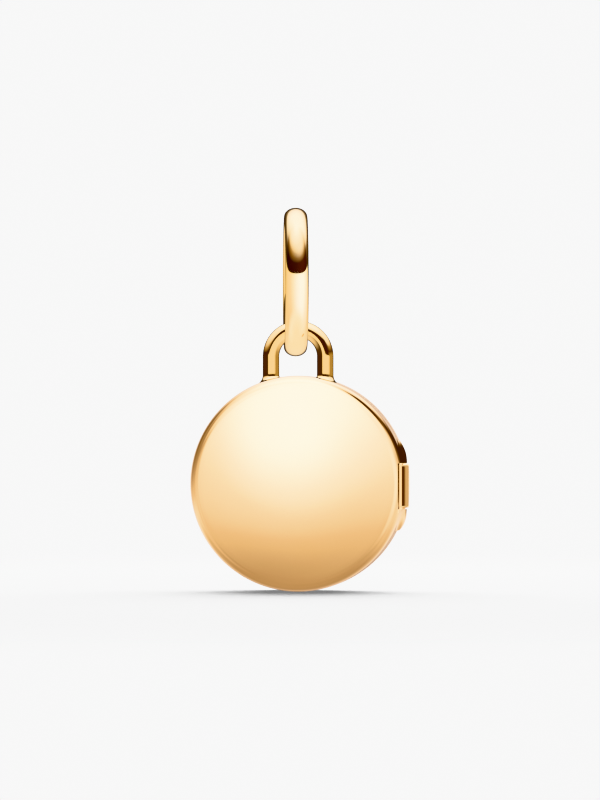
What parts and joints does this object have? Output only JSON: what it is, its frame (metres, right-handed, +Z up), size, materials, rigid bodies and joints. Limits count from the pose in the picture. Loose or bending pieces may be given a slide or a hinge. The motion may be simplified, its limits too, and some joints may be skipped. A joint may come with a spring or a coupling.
{
  "type": "locket charm",
  "caption": "Round hinged locket charm with plain domed faces and a soldered eye, hanging from a loose ring-shaped bail.",
  "frame": {"origin": "Inner top of the bail, on its centre plane, where the chain lies when the charm hangs.", "axes": "+Z up, opposite to the pull of the hanging case. +X across the case towards its hinge. +Y through the case, from the plain face with the eye's half towards the cover. The case hangs square to these axes, and the bail is turned 8 degrees about Z in its eye."},
  "size_m": [0.0146, 0.01, 0.0258],
  "materials": {
    "bail_metal": "polished yellow gold plate on silver",
    "eye_shell_metal": "polished yellow gold plate on silver",
    "cover_shell_metal": "polished yellow gold plate on silver",
    "pin_metal": "polished yellow gold plate on silver"
  },
  "bodies": {
    "bail": {"bail": "bail_metal"},
    "case": {"eye_shell": "eye_shell_metal", "hinge_pin": "pin_metal"},
    "cover": {"cover_shell": "cover_shell_metal"}
  },
  "joints": [
    {"name": "case_swing", "type": "hinge", "parent": "bail", "child": "case", "pos_m": [0, 0, -0.00697], "axis": [1, 0, 0], "range_deg": [-45, 45]},
    {"name": "cover_hinge", "type": "hinge", "parent": "case", "child": "cover", "pos_m": [0.00678, 0.0008, -0.0175], "axis": [0, 0, -1], "range_deg": [0, 110]}
  ]
}
